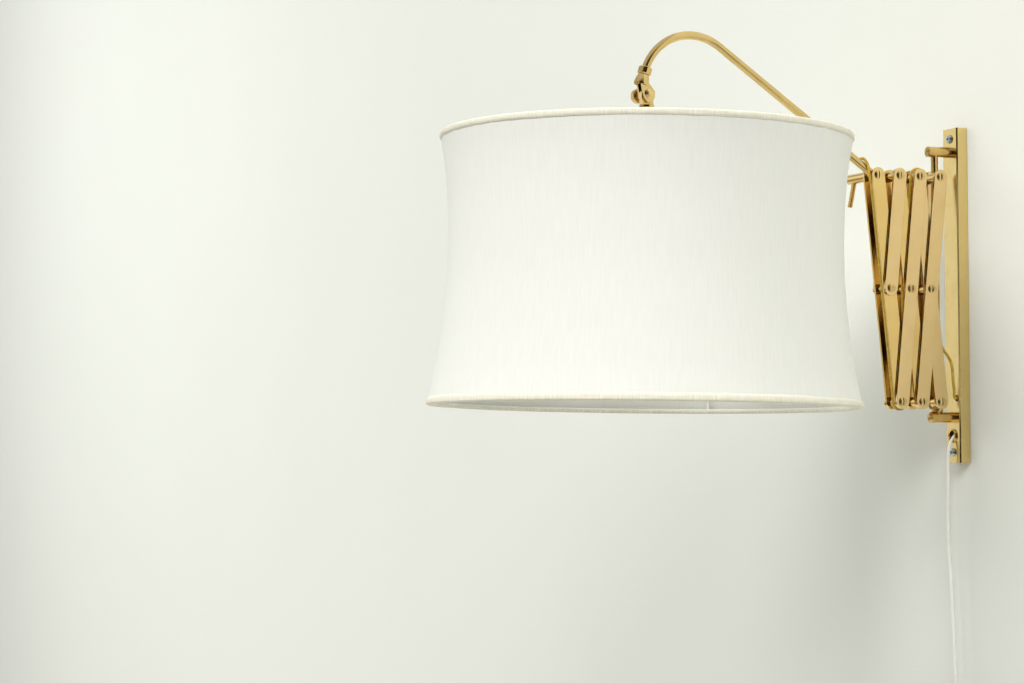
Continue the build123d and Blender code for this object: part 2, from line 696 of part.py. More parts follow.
with BuildPart() as top_frame:
    with Locations((0, HEAD_AXIS_Y, TOP_RING_Z)):
        Torus(TOP_RING_R, WIRE_R)
    with Locations((0, HEAD_AXIS_Y, HUB_Z)):
        Cylinder(HUB_R, HUB_T)
    arm_len = TOP_RING_R - HUB_R + 1
    with Locations((0, HEAD_AXIS_Y, HUB_Z)):
        with PolarLocations((TOP_RING_R + HUB_R - 1) / 2, SPIDER_ARMS, start_angle=30):
            Cylinder(WIRE_R * 0.9, arm_len, rotation=(0, 90, 0))
    with Locations((0, HEAD_AXIS_Y, HUB_Z)):
        Cylinder(STEM_R + 0.1, 2 * HUB_T, mode=Mode.SUBTRACT)
save_tilted(top_frame, "top_frame")

with BuildPart() as bottom_frame:
    with Locations((0, HEAD_AXIS_Y, LOW_RING_Z)):
        Torus(LOW_RING_R, WIRE_R)
    strut_top = TOP_RING_Z - 2 * WIRE_R - 0.2
    for index in range(STRUTS):
        turn = 45 + index * 360 / STRUTS
        out = Vector(cos(radians(turn)), sin(radians(turn)), 0)
        axis_foot = Vector(0, HEAD_AXIS_Y, 0)
        with BuildLine() as strut_path:
            low = axis_foot + out * (LOW_RING_R - 1) + Vector(0, 0, LOW_RING_Z)
            mid = axis_foot + out * 175.0 + Vector(0, 0, 20)
            high = axis_foot + out * (TOP_RING_R - 3.0) + Vector(0, 0, strut_top)
            ThreePointArc(low, mid, high)
        with BuildSketch(strut_path.line ^ 0):
            Circle(STRUT_R)
        sweep(path=strut_path.line)
save_tilted(bottom_frame, "bottom_frame")

# ---- stem, lamp holder, turn key and bulb ----
with BuildPart() as stem:
    stem_top = FOOT_Z + STEM_IN
    stem_low = HOLDER_TOP - 8
    with Locations((0, HEAD_AXIS_Y, (stem_top + stem_low) / 2)):
        Cylinder(STEM_R, stem_top - stem_low)
        Cylinder(STEM_BORE, stem_top - stem_low, mode=Mode.SUBTRACT)
save_tilted(stem, "stem")

with BuildPart() as holder_cap:
    with BuildSketch(RADIAL):
        with BuildLine():
            Polyline(
                (STEM_R + 0.05, HOLDER_TOP),
                (9, HOLDER_TOP),
                (HOLDER_R, HOLDER_SHOULDER),
                (HOLDER_R, HOLDER_SHOULDER - 22),
                (HOLDER_R - 2, HOLDER_SHOULDER - 22),
                (HOLDER_R - 2, HOLDER_SHOULDER - 1),
                (STEM_R + 0.05, HOLDER_TOP - 8.6),
                close=True,
            )
        make_face()
    revolve(axis=HEAD_AXIS)
    with Locations(Plane(origin=(HOLDER_R, HEAD_AXIS_Y, KEY_Z), z_dir=(1, 0, 0))):
        Cylinder(2.3, 8, mode=Mode.SUBTRACT)
save_tilted(holder_cap, "holder_cap")

with BuildPart() as holder_body:
    skirt_top = HOLDER_SHOULDER - 22.2
    with BuildSketch(RADIAL):
        with BuildLine():
            Polyline(
                (0, skirt_top + 4),
                (HOLDER_R - 2.4, skirt_top + 4),
                (HOLDER_R - 2.4, skirt_top),
                (HOLDER_R, skirt_top),
                (HOLDER_R, HOLDER_LOW),
                (BULB_BASE_R + 1, HOLDER_LOW),
                (BULB_BASE_R + 1, skirt_top),
                (0, skirt_top),
                close=True,
            )
        make_face()
    revolve(axis=HEAD_AXIS)
save_tilted(holder_body, "holder_body")

with BuildPart() as switch_key:
    with Locations(Plane(origin=(HOLDER_R + 3, HEAD_AXIS_Y, KEY_Z), z_dir=(1, 0, 0))):
        Cylinder(2.2, 10)
    with Locations((HOLDER_R + 12.5, HEAD_AXIS_Y, KEY_Z)):
        Box(9.2, 3.0, 11)
    paddle = switch_key.edges().filter_by(Axis.Y).sort_by(Axis.X)[-2:]
    fillet(paddle, 3.5)
save_tilted(switch_key, "switch_key")

bulb_neck_z = HOLDER_LOW - 3
bulb_centre_z = BULB_LOW + BULB_R
with BuildPart() as bulb_glass:
    neck_r = BULB_BASE_R - 0.2
    for shrink, mode in ((0, Mode.ADD), (GLASS, Mode.SUBTRACT)):
        with BuildSketch(RADIAL):
            with BuildLine():
                side_r = BULB_R - shrink
                low = (0, bulb_centre_z - side_r)
                flank = (side_r * cos(radians(20)), bulb_centre_z + side_r * sin(radians(20)))
                quarter = (side_r * cos(radians(-30)), bulb_centre_z - side_r * sin(radians(30)))
                belly = ThreePointArc(low, quarter, flank)
                Spline(belly @ 1, (neck_r - shrink, bulb_neck_z), tangents=[belly % 1, (0, 1)])
                Line((neck_r - shrink, bulb_neck_z), (0, bulb_neck_z))
                Line((0, bulb_neck_z), low)
            make_face()
        revolve(axis=HEAD_AXIS, mode=mode)
save_tilted(bulb_glass, "bulb_glass")

with BuildPart() as bulb_base:
    with BuildSketch(RADIAL):
        with BuildLine():
            base_top = HOLDER_SHOULDER - 22.4
            Polyline(
                (0, bulb_neck_z + 0.05),
                (BULB_BASE_R, bulb_neck_z + 0.05),
                (BULB_BASE_R, base_top - 4),
                (5, base_top - 0.5),
                (0, base_top - 0.5),
                close=True,
            )
        make_face()
    revolve(axis=HEAD_AXIS)
save_tilted(bulb_base, "bulb_base")

# ---------------------------------------------------------------------------------------
# Cable: out of the tube, down the front bars, up the middle bars, down the rear bars and
# into the plate. It lies beside the cross rods, inside the right-hand bars.
# ---------------------------------------------------------------------------------------
WRAP = CROSS_R + CABLE_R + 0.3
FRONT_DIR = Vector(0, -sin(radians(LEAN)), cos(radians(LEAN)))
FRONT_SIDE = Vector(0, -cos(radians(LEAN)), -sin(radians(LEAN)))
BACK_DIR = Vector(0, sin(radians(LEAN)), cos(radians(LEAN)))
BACK_SIDE = Vector(0, -cos(radians(LEAN)), sin(radians(LEAN)))
cross_angle = asin(2 * WRAP / LINK)
CROSS_SIDE = BACK_SIDE * cos(cross_angle) - BACK_DIR * sin(cross_angle)


def in_lane(place):
    """A pivot's place moved sideways into the cable's lane."""
    return Vector(CABLE_X, *place)


def save_wrapped(label, *pieces):
    """Sweep the cable along runs and arcs given as lists of two or three points."""
    with BuildPart() as cable:
        with BuildLine() as path:
            for piece in pieces:
                if len(piece) == 2:
                    Line(*piece)
                else:
                    ThreePointArc(*piece)
        with BuildSketch(path.line ^ 0):
            Circle(CABLE_R)
        sweep(path=path.line)
    save(cable, label)


front_high = in_lane(ARM_PIVOT) + FRONT_SIDE * WRAP - FRONT_DIR * 12
front_low = in_lane(FRONT_LOW) + FRONT_SIDE * WRAP
save_wrapped("cable_front_run", (front_high, front_low))

under_low = in_lane(FRONT_LOW) + Vector(0, 0, -WRAP)
middle_low = in_lane(FRONT_LOW) - CROSS_SIDE * WRAP
save_wrapped("cable_low_turn", (front_low, under_low, middle_low))

middle_in = in_lane(MIDDLE_MID) + CROSS_SIDE * WRAP
middle_bend = in_lane(MIDDLE_MID) + (CROSS_SIDE + BACK_SIDE).normalized() * WRAP
middle_out = in_lane(MIDDLE_MID) + BACK_SIDE * WRAP
middle_high = in_lane(REAR_TOP) + BACK_SIDE * WRAP
save_wrapped(
    "cable_middle_run",
    (middle_low, middle_in),
    (middle_in, middle_bend, middle_out),
    (middle_out, middle_high),
)

over_top = in_lane(REAR_TOP) + Vector(0, 0, WRAP)
rear_high = in_lane(REAR_TOP) - FRONT_SIDE * WRAP
save_wrapped("cable_top_turn", (middle_high, over_top, rear_high))

rear_low = in_lane(REAR_MID) - FRONT_SIDE * WRAP - FRONT_DIR * 44
save_wrapped("cable_rear_run", (rear_high, rear_low))


def save_route(label, radius, points):
    """Sweep a cable or cord along a list of points and save it."""
    save(tube_along(points, radius, corner_radii(label, points)), label)


# ---- from the tube's hole round to the front bars ----
save_route(
    "cable_arm_loop",
    CABLE_R,
    (
        cable_rises + ARM_DIR * 8 - ARM_UP * 1.2,
        cable_rises,
        cable_leaves,
        ARM_START + Vector(5.5, -9.2, 9.6),
        ARM_START + Vector(5.3, -8.6, 0.8),
        front_high + FRONT_DIR * 6,
        front_high,
    ),
)

# ---- from the rear bars round the swing rod, then to the plate's hole ----
swing_hand_over = Vector(11.2, -16.2, -82.0)
HAND_OVER_GAP = 0.06
save_route(
    "cable_swing_loop",
    CABLE_R,
    (
        rear_low,
        rear_low - FRONT_DIR * 8.5,
        Vector(5.2, -24.6, -52.5),
        Vector(8.6, -20.2, -59.0),
        Vector(11.3, -16.8, -68.0),
        swing_hand_over,
    ),
)
cable_in = Vector(CABLE_HOLE[0], -PLATE_D, CABLE_HOLE[1])
save_route(
    "cable_wall_loop",
    CABLE_R,
    (
        swing_hand_over - Vector(0, 0, HAND_OVER_GAP),
        swing_hand_over + Vector(-0.1, 0.4, -8.4),
        cable_in + Vector(1.6, -4.0, -1.2),
        cable_in + Vector(0.0, 2.6, 1.2),
        Vector(5.4, -4.6, BLOCK_Z - 19.0),
        Vector(3.8, -4.6, BLOCK_Z - 10.0),
    ),
)

# ---- mains cord: a lead inside the plate, then out of the ferrule and down the wall ----
lead_end = Vector(-0.4, -7.4, FERRULE_Z + 1.8)
LEAD_DIR = Vector(1.4, -4.4, -3.0).normalized()
save_route(
    "mains_lead",
    CORD_R,
    (
        Vector(-3.8, -4.6, BLOCK_Z - 10.0),
        Vector(-5.0, -4.3, BLOCK_Z - 24.0),
        Vector(-8.3, -3.6, BLOCK_Z - 37.0),
        Vector(-8.0, -3.4, BLOCK_Z - 50.0),
        lead_end - LEAD_DIR * 5,
        lead_end,
    ),
)
save_route(
    "mains_cord",
    CORD_R,
    (
        lead_end,
        lead_end + LEAD_DIR * 7.4,
        Vector(0.8, -16.8, FERRULE_Z - 10.6),
        Vector(0.0, -17.2, FERRULE_Z - 22.0),
        Vector(-1.6, -16.4, FERRULE_Z - 37.0),
        Vector(-4.6, -15.0, FERRULE_Z - 56.0),
        Vector(-7.4, -13.8, FERRULE_Z - 80.0),
        Vector(-7.2, -13.2, FERRULE_Z - 106.0),
        Vector(-4.6, -12.6, FERRULE_Z - 134.0),
        Vector(-2.2, -12.8, FERRULE_Z - 166.0),
        Vector(-0.4, -12.6, FERRULE_Z - 198.0),
        Vector(0.9, -12.2, FERRULE_Z - 230.0),
        Vector(0.4, CORD_Y, COIL_TOP_Z),
    ),
)

# ---- the rest of the cord, wound in a tied coil, and its plug ----
coil_z = COIL_TOP_Z - COIL_R - COIL_SECTION_R
with BuildPart() as cord_coil:
    with Locations(Plane(origin=(0, CORD_Y, coil_z), z_dir=(0, 1, 0))):
        Torus(COIL_R, COIL_SECTION_R)
save(cord_coil, "cord_coil")

coil_low_z = coil_z - COIL_R - COIL_SECTION_R
save_route(
    "cord_tail",
    CORD_R,
    (
        Vector(0.0, CORD_Y, coil_low_z),
        Vector(0.8, CORD_Y + 0.5, coil_low_z - 8),
        Vector(0.6, CORD_Y + 0.2, PLUG_TOP_Z + 6),
        Vector(0.0, CORD_Y, PLUG_TOP_Z),
    ),
)

PLUG_SHOULDER_Z = PLUG_TOP_Z - 16
PLUG_FACE_Z = PLUG_SHOULDER_Z - 20
with BuildPart() as plug_body:
    with BuildSketch(Plane.XY.offset(PLUG_TOP_Z)):
        with Locations((0, CORD_Y)):
            SlotOverall(7, 6.4)
    with BuildSketch(Plane.XY.offset(PLUG_SHOULDER_Z)):
        with Locations((0, CORD_Y)):
            SlotOverall(26, 12)
    loft()
    with BuildSketch(Plane.XY.offset(PLUG_SHOULDER_Z)):
        with Locations((0, CORD_Y)):
            SlotOverall(26, 12)
    with BuildSketch(Plane.XY.offset(PLUG_FACE_Z)):
        with Locations((0, CORD_Y)):
            SlotOverall(34, 13.6)
    loft()
    fillet(plug_body.faces().sort_by(Axis.Z)[0].edges(), 1.0)
save(plug_body, "plug_body")

with BuildPart() as plug_pins:
    with Locations(*[(x, CORD_Y, PLUG_FACE_Z - 9.5) for x in (-9.3, 9.3)]):
        Cylinder(2.0, 19)
    fillet(plug_pins.faces().filter_by(Axis.Z).group_by(Axis.Z)[0].edges(), 1.0)
save(plug_pins, "plug_pins")
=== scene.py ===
from math import asin, cos, pi, radians, sin

import bmesh
import bpy
from mathutils import Matrix, Vector, noise


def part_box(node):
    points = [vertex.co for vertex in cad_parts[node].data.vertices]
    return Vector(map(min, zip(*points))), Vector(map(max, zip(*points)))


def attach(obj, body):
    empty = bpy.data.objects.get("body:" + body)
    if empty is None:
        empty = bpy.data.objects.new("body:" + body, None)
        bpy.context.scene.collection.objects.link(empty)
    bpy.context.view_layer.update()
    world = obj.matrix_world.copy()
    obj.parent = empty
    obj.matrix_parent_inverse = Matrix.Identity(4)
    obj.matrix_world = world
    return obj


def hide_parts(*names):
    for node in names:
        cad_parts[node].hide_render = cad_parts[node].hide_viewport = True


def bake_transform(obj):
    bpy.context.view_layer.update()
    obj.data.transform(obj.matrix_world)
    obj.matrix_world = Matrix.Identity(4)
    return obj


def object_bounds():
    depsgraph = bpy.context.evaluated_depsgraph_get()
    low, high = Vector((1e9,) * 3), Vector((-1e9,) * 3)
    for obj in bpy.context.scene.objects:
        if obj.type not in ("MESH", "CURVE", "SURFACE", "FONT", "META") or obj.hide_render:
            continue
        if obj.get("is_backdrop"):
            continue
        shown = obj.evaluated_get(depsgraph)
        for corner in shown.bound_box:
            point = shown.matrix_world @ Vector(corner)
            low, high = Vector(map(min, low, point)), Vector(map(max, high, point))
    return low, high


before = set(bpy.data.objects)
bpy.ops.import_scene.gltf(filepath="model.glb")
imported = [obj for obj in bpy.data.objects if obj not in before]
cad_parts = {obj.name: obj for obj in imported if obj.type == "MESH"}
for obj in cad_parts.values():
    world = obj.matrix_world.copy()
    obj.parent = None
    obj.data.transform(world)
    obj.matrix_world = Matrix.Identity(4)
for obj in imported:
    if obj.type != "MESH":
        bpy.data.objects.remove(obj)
cad_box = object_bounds()

# ---------------------------------------------------------------------------------------
# Places, in metres, in the frame's axes: the wall is Y = 0, the room is on the -Y side
# ---------------------------------------------------------------------------------------
PLATE_FACE_Y = Vector(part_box("wall_plate")[0]).y
ferrule_low, ferrule_high = (Vector(corner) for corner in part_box("cord_ferrule"))
FERRULE_Z = (ferrule_low.z + ferrule_high.z) / 2
BOLT_Z = 0.150
CORD_R = 0.0015
CABLE_R = 0.0014
KNUCKLE = Vector((0, -0.3352, 0.1775))
HEAD_AXIS_Y = -0.3346
HEAD_TILT = radians(-0.97)
SHADE_TOP = 0.140
SHADE_LOW = -0.109


def head_matrix():
    """Tilt of the shade half about the knuckle's bolt."""
    there = Matrix.Translation(KNUCKLE)
    return there @ Matrix.Rotation(HEAD_TILT, 4, "X") @ there.inverted()


# ---------------------------------------------------------------------------------------
# Camera
# ---------------------------------------------------------------------------------------
CAMERA_PLACE = (2.30077, -1.47154, -0.16723)
CAMERA_LENS = 99.13
CAMERA_TURN = radians(66.476)
CAMERA_RISE = radians(90 + 2.659)
CAMERA_ROLL = radians(-0.262)


def make_camera():
    data = bpy.data.cameras.new("camera")
    data.sensor_width = 36.0
    data.lens = CAMERA_LENS
    data.clip_end = 50.0
    camera = bpy.data.objects.new("camera", data)
    turn = Matrix.Rotation(CAMERA_TURN, 4, "Z")
    rise = Matrix.Rotation(CAMERA_RISE, 4, "X")
    roll = Matrix.Rotation(CAMERA_ROLL, 4, "Z")
    place = Matrix.Translation(CAMERA_PLACE)
    camera.matrix_world = place @ turn @ rise @ roll
    bpy.context.collection.objects.link(camera)
    bpy.context.scene.camera = camera


make_camera()


# ---------------------------------------------------------------------------------------
# Material helpers
# ---------------------------------------------------------------------------------------
def new_material(name):
    material = bpy.data.materials.new(name)
    material.use_nodes = True
    return material, material.node_tree, material.node_tree.nodes["Principled BSDF"]


def add_node(tree, kind, **values):
    node = tree.nodes.new(kind)
    for key, value in values.items():
        setattr(node, key, value)
    return node


def noise_node(tree, vector, scale, detail=4.0, rough=0.55):
    node = add_node(tree, "ShaderNodeTexNoise")
    node.inputs["Scale"].default_value = scale
    node.inputs["Detail"].default_value = detail
    node.inputs["Roughness"].default_value = rough
    tree.links.new(vector, node.inputs["Vector"])
    return node.outputs["Fac"]


def stretched(tree, source, scale):
    node = add_node(tree, "ShaderNodeMapping")
    node.inputs["Scale"].default_value = scale
    tree.links.new(source, node.inputs["Vector"])
    return node.outputs["Vector"]


def ramp(tree, value, stops):
    node = add_node(tree, "ShaderNodeValToRGB")
    elements = node.color_ramp.elements
    while len(elements) < len(stops):
        elements.new(0.5)
    for element, (place, colour) in zip(elements, stops):
        element.position = place
        element.color = (*colour, 1) if len(colour) == 3 else colour
    tree.links.new(value, node.inputs["Fac"])
    return node.outputs["Color"]


def grey(level):
    return (level, level, level)


def bump(tree, height, distance, strength=1.0, before=None):
    node = add_node(tree, "ShaderNodeBump")
    node.inputs["Distance"].default_value = distance
    node.inputs["Strength"].default_value = strength
    tree.links.new(height, node.inputs["Height"])
    if before is not None:
        tree.links.new(before, node.inputs["Normal"])
    return node.outputs["Normal"]


def set_sockets(shader, **values):
    for name, value in values.items():
        shader.inputs[name.replace("_", " ")].default_value = value


# ---------------------------------------------------------------------------------------
# Materials
# ---------------------------------------------------------------------------------------
def brass(name, base, dull, low_rough, high_rough, grain=(1, 1, 1)):
    """Polished brass with a faint haze, fine wipe marks and slightly duller patches."""
    material, tree, shader = new_material(name)
    place = add_node(tree, "ShaderNodeTexCoord").outputs["Object"]
    patches = noise_node(tree, place, 38.0, 5.0, 0.6)
    colour = ramp(tree, patches, ((0.36, base), (0.70, dull)))
    tree.links.new(colour, shader.inputs["Base Color"])
    haze = noise_node(tree, place, 90.0, 6.0, 0.65)
    rough = ramp(tree, haze, ((0.30, grey(low_rough)), (0.72, grey(high_rough))))
    tree.links.new(rough, shader.inputs["Roughness"])
    wipes = noise_node(tree, stretched(tree, place, grain), 900.0, 3.0, 0.7)
    waves = noise_node(tree, place, 30.0, 2.0, 0.4)
    fine = bump(tree, wipes, 0.000010, 0.3)
    tree.links.new(bump(tree, waves, 0.00020, 0.10, fine), shader.inputs["Normal"])
    set_sockets(shader, Metallic=1.0)
    return material


def add_painted_crevice_shade(material, reach):
    """Painted shade: the base colour darkened towards near black in slots and corners, where
    ambient occlusion finds other surfaces close.
    """
    tree = material.node_tree
    shader = tree.nodes["Principled BSDF"]
    link = shader.inputs["Base Color"].links[0]
    colour = link.from_socket
    tree.links.remove(link)
    occluded = add_node(tree, "ShaderNodeAmbientOcclusion", samples=8, only_local=True)
    occluded.inputs["Distance"].default_value = reach
    # Near-black brown where occlusion is strong: painted shade in the hollows.
    crevice_shade = ramp(tree, occluded.outputs["AO"], ((0.35, (0.05, 0.03, 0.015)), (0.85, grey(1.0))))
    mixed = add_node(tree, "ShaderNodeMix", data_type="RGBA", blend_type="MULTIPLY")
    mixed.inputs[0].default_value = 1.0
    tree.links.new(colour, mixed.inputs[6])
    tree.links.new(crevice_shade, mixed.inputs[7])
    tree.links.new(mixed.outputs[2], shader.inputs["Base Color"])


BRASS = brass("brass_polished", (0.84, 0.60, 0.24), (0.80, 0.55, 0.20), 0.12, 0.22, (1, 1, 0.15))
BRASS_PLATE = brass("brass_plate", (0.82, 0.64, 0.28), (0.78, 0.59, 0.24), 0.14, 0.24, (1, 1, 0.1))
BRASS_TURNED = brass("brass_turned", (0.78, 0.54, 0.20), (0.60, 0.39, 0.13), 0.14, 0.32)
BRASS_PALE = brass("brass_pale", (0.84, 0.62, 0.31), (0.80, 0.57, 0.27), 0.12, 0.22, (1, 1, 0.15))
BRASS_SCREW = brass("brass_screw", (0.84, 0.62, 0.28), (0.68, 0.46, 0.18), 0.20, 0.34)
# Painted shade in the screws' slots and corners.
add_painted_crevice_shade(BRASS_SCREW, 0.0016)
BRASS_ARM = brass("brass_arm", (0.72, 0.53, 0.22), (0.66, 0.47, 0.18), 0.10, 0.18, (1, 1, 0.15))
# Painted shade in the corners of the arm tube and the knuckle.
add_painted_crevice_shade(BRASS_ARM, 0.0024)


def zinc_material():
    material, tree, shader = new_material("zinc_plated")
    place = add_node(tree, "ShaderNodeTexCoord").outputs["Object"]
    spots = noise_node(tree, place, 260.0, 5.0, 0.6)
    colour = ramp(tree, spots, ((0.3, (0.64, 0.72, 0.78)), (0.75, (0.46, 0.54, 0.60))))
    tree.links.new(colour, shader.inputs["Base Color"])
    rough = ramp(tree, spots, ((0.3, grey(0.14)), (0.8, grey(0.30))))
    tree.links.new(rough, shader.inputs["Roughness"])
    set_sockets(shader, Metallic=1.0)
    return material


def thread_waves(tree, uv, direction, thread):
    """Bands one thread wide, across the given direction."""
    node = add_node(tree, "ShaderNodeTexWave", bands_direction=direction)
    node.inputs["Scale"].default_value = pi / 10 / thread
    node.inputs["Distortion"].default_value = 1.2
    node.inputs["Detail Scale"].default_value = 2.0
    tree.links.new(uv, node.inputs["Vector"])
    return node.outputs["Fac"]


def sum_node(tree, first, second):
    node = add_node(tree, "ShaderNodeMath", operation="ADD")
    tree.links.new(first, node.inputs[0])
    tree.links.new(second, node.inputs[1])
    return node.outputs[0]


def cloth_material(name, light, dark, thread, depth):
    """Plain slub weave on the UV map, whose unit is a metre."""
    material, tree, shader = new_material(name)
    uv = add_node(tree, "ShaderNodeTexCoord").outputs["UV"]
    slub_up = noise_node(tree, stretched(tree, uv, (520, 36, 1)), 1.0, 3.0, 0.6)
    slub_over = noise_node(tree, stretched(tree, uv, (30, 600, 1)), 1.0, 3.0, 0.6)
    warp = thread_waves(tree, uv, "X", thread)
    weft = thread_waves(tree, uv, "Y", thread)
    cross = sum_node(tree, warp, weft)
    slubs = sum_node(tree, slub_up, slub_over)
    colour = ramp(tree, slub_up, ((0.3, dark), (0.7, light)))
    tree.links.new(colour, shader.inputs["Base Color"])
    weave = bump(tree, cross, depth, 0.3)
    tree.links.new(bump(tree, slubs, depth * 2, 0.2, weave), shader.inputs["Normal"])
    set_sockets(shader, Roughness=0.9, Sheen_Weight=0.15, Sheen_Roughness=0.5)
    set_sockets(shader, Specular_IOR_Level=0.2)
    return material


def plastic_material(name, light, dark, rough, scale=220.0):
    material, tree, shader = new_material(name)
    place = add_node(tree, "ShaderNodeTexCoord").outputs["Object"]
    tone = noise_node(tree, place, scale, 3.0, 0.5)
    tree.links.new(ramp(tree, tone, ((0.3, light), (0.75, dark))), shader.inputs["Base Color"])
    fine = noise_node(tree, place, scale * 9, 2.0, 0.5)
    tree.links.new(bump(tree, fine, 0.00002, 0.4), shader.inputs["Normal"])
    set_sockets(shader, Roughness=rough)
    return material


def cable_material():
    """Clear gold sleeve over bright cores: a soft olive gold with a wet shine."""
    material, tree, shader = new_material("cable_gold")
    place = add_node(tree, "ShaderNodeTexCoord").outputs["Object"]
    tone = noise_node(tree, place, 320.0, 3.0, 0.6)
    colour = ramp(tree, tone, ((0.35, (0.42, 0.26, 0.02)), (0.68, (0.62, 0.40, 0.04))))
    tree.links.new(colour, shader.inputs["Base Color"])
    set_sockets(shader, Roughness=0.22, IOR=1.5, Metallic=0.1)
    set_sockets(shader, Coat_Weight=0.6, Coat_Roughness=0.12)
    return material


def glass_material():
    material, tree, shader = new_material("bulb_opal")
    place = add_node(tree, "ShaderNodeTexCoord").outputs["Object"]
    tone = noise_node(tree, place, 30.0, 2.0, 0.5)
    colour = ramp(tree, tone, ((0.3, (0.93, 0.93, 0.91)), (0.8, (0.88, 0.88, 0.85))))
    tree.links.new(colour, shader.inputs["Base Color"])
    set_sockets(shader, Roughness=0.28, IOR=1.5, Subsurface_Weight=0.25)
    return material


ZINC = zinc_material()
# Painted shade in the zinc screws' cross recesses and in the nuts' corners.
add_painted_crevice_shade(ZINC, 0.0020)
CLOTH = cloth_material("shade_cloth", (0.855, 0.863, 0.812), (0.815, 0.823, 0.77), 0.0007, 0.00004)
TRIM = cloth_material("bias_tape", (0.89, 0.87, 0.765), (0.77, 0.73, 0.58), 0.0005, 0.00006)
WIRE = plastic_material("coated_wire", (0.86, 0.86, 0.82), (0.80, 0.80, 0.76), 0.4)
CORD = plastic_material("cord_white", (0.92, 0.92, 0.87), (0.86, 0.86, 0.80), 0.45)
PLASTIC = plastic_material("moulded_white", (0.84, 0.83, 0.77), (0.80, 0.79, 0.72), 0.4)
CABLE = cable_material()
GLASS = glass_material()

NODE_MATERIALS = {
    "wall_plate": BRASS_PLATE,
    "rod_studs": BRASS_TURNED,
    "swing_rod": BRASS_TURNED,
    "stop_collar": BRASS_SCREW,
    "cord_ferrule": BRASS_TURNED,
    "rear_inner_bars": BRASS_PALE,
    "rear_outer_bars": BRASS_PALE,
    "middle_outer_bars": BRASS_PALE,
    "front_outer_bars": BRASS_PALE,
    "arm_tube": BRASS_ARM,
    "knuckle_sleeve": BRASS_ARM,
    "knuckle_dome": BRASS_ARM,
    "knuckle_foot": BRASS_ARM,
    "stud_nuts": ZINC,
    "plug_pins": ZINC,
    "connector": PLASTIC,
    "holder_body": PLASTIC,
    "switch_key": PLASTIC,
    "plug_body": PLASTIC,
    "bulb_glass": GLASS,
    "top_frame": WIRE,
    "bottom_frame": WIRE,
    "mains_lead": CORD,
}


def material_for(node):
    if node in NODE_MATERIALS:
        return NODE_MATERIALS[node]
    if node.startswith("cable_"):
        return CABLE
    if "screw" in node or node in ("knuckle_bolt", "knuckle_nut", "bulb_base"):
        return BRASS_SCREW
    return BRASS


for node_name, node_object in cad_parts.items():
    node_object.data.materials.clear()
    node_object.data.materials.append(material_for(node_name))


# ---------------------------------------------------------------------------------------
# Cords: a smooth NURBS line with a round bevel
# ---------------------------------------------------------------------------------------
def cord_curve(name, points, radius, material):
    data = bpy.data.curves.new(name, "CURVE")
    data.dimensions = "3D"
    data.bevel_depth = radius
    data.bevel_resolution = 4
    data.resolution_u = 8
    data.use_fill_caps = True
    spline = data.splines.new("NURBS")
    spline.points.add(len(points) - 1)
    for control, point in zip(spline.points, points):
        control.co = (*point, 1)
    spline.order_u = 3
    spline.use_endpoint_u = True
    piece = bpy.data.objects.new(name, data)
    bpy.context.collection.objects.link(piece)
    data.materials.append(material)
    return piece


CORD_Y = -0.0124
COIL_TOP_Z = -0.392
COIL_R = 0.01725
COIL_SECTION_R = 0.0071
COIL_Z = COIL_TOP_Z - COIL_R - COIL_SECTION_R
PLUG_TOP_Z = -0.462
LEAD_END = Vector((-0.0004, -0.0074, FERRULE_Z + 0.0018))
LEAD_DIR = Vector((1.4, -4.4, -3.0)).normalized()
CORD_ROUTE = (
    LEAD_END,
    LEAD_END + LEAD_DIR * 0.0074,
    Vector((0.0008, -0.0168, FERRULE_Z - 0.0106)),
    Vector((0.0000, -0.0172, FERRULE_Z - 0.0220)),
    Vector((-0.0016, -0.0164, FERRULE_Z - 0.0370)),
    Vector((-0.0046, -0.0150, FERRULE_Z - 0.0560)),
    Vector((-0.0074, -0.0138, FERRULE_Z - 0.0800)),
    Vector((-0.0072, -0.0132, FERRULE_Z - 0.1060)),
    Vector((-0.0046, -0.0126, FERRULE_Z - 0.1340)),
    Vector((-0.0022, -0.0128, FERRULE_Z - 0.1660)),
    Vector((-0.0004, -0.0126, FERRULE_Z - 0.1980)),
    Vector((0.0009, -0.0122, FERRULE_Z - 0.2300)),
    Vector((0.0004, CORD_Y, COIL_TOP_Z)),
)
TAIL_ROUTE = (
    Vector((0.0008, CORD_Y + 0.0005, COIL_Z - COIL_R - COIL_SECTION_R - 0.008)),
    Vector((0.0006, CORD_Y + 0.0002, PLUG_TOP_Z + 0.006)),
    Vector((0.0000, CORD_Y, PLUG_TOP_Z)),
)
# Where each turn runs in the coil's round section: rows of 2, 3, 4, 3 and 2 turns, in
# steps of one cord's thickness, as (outward, sideways).
TURN_PLACES = (
    (2.0, -0.5), (2.0, 0.5), (1.0, 1.0), (1.0, 0.0), (1.0, -1.0), (0.0, -1.5), (0.0, -0.5),
    (0.0, 0.5), (0.0, 1.5), (-1.0, 1.0), (-1.0, 0.0), (-1.0, -1.0), (-2.0, -0.5), (-2.0, 0.5),
)
STEPS_PER_TURN = 16
ROW_STEP = 0.0026
SIDE_STEP = 0.00302


def coil_points():
    """Turns of the put-away cord, from the coil's top round to its bottom."""
    points = []
    total = len(TURN_PLACES) * STEPS_PER_TURN - STEPS_PER_TURN // 2
    for step in range(2, total + 1):
        turn, part = divmod(step, STEPS_PER_TURN)
        here = Vector(TURN_PLACES[turn])
        after = Vector(TURN_PLACES[min(turn + 1, len(TURN_PLACES) - 1)])
        shift = min(max((part - 13) / 3, 0), 1)
        place = here.lerp(after, shift)
        angle = 2 * pi * step / STEPS_PER_TURN
        radius = COIL_R + place.x * ROW_STEP
        across = CORD_Y + place.y * SIDE_STEP
        points.append(Vector((radius * sin(angle), across, COIL_Z + radius * cos(angle))))
    return points


cord_points = CORD_ROUTE + tuple(coil_points()) + TAIL_ROUTE
mains_cord = cord_curve("mains_cord_white", cord_points, CORD_R, CORD)
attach(mains_cord, "wall")
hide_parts("mains_cord", "cord_coil", "cord_tail")
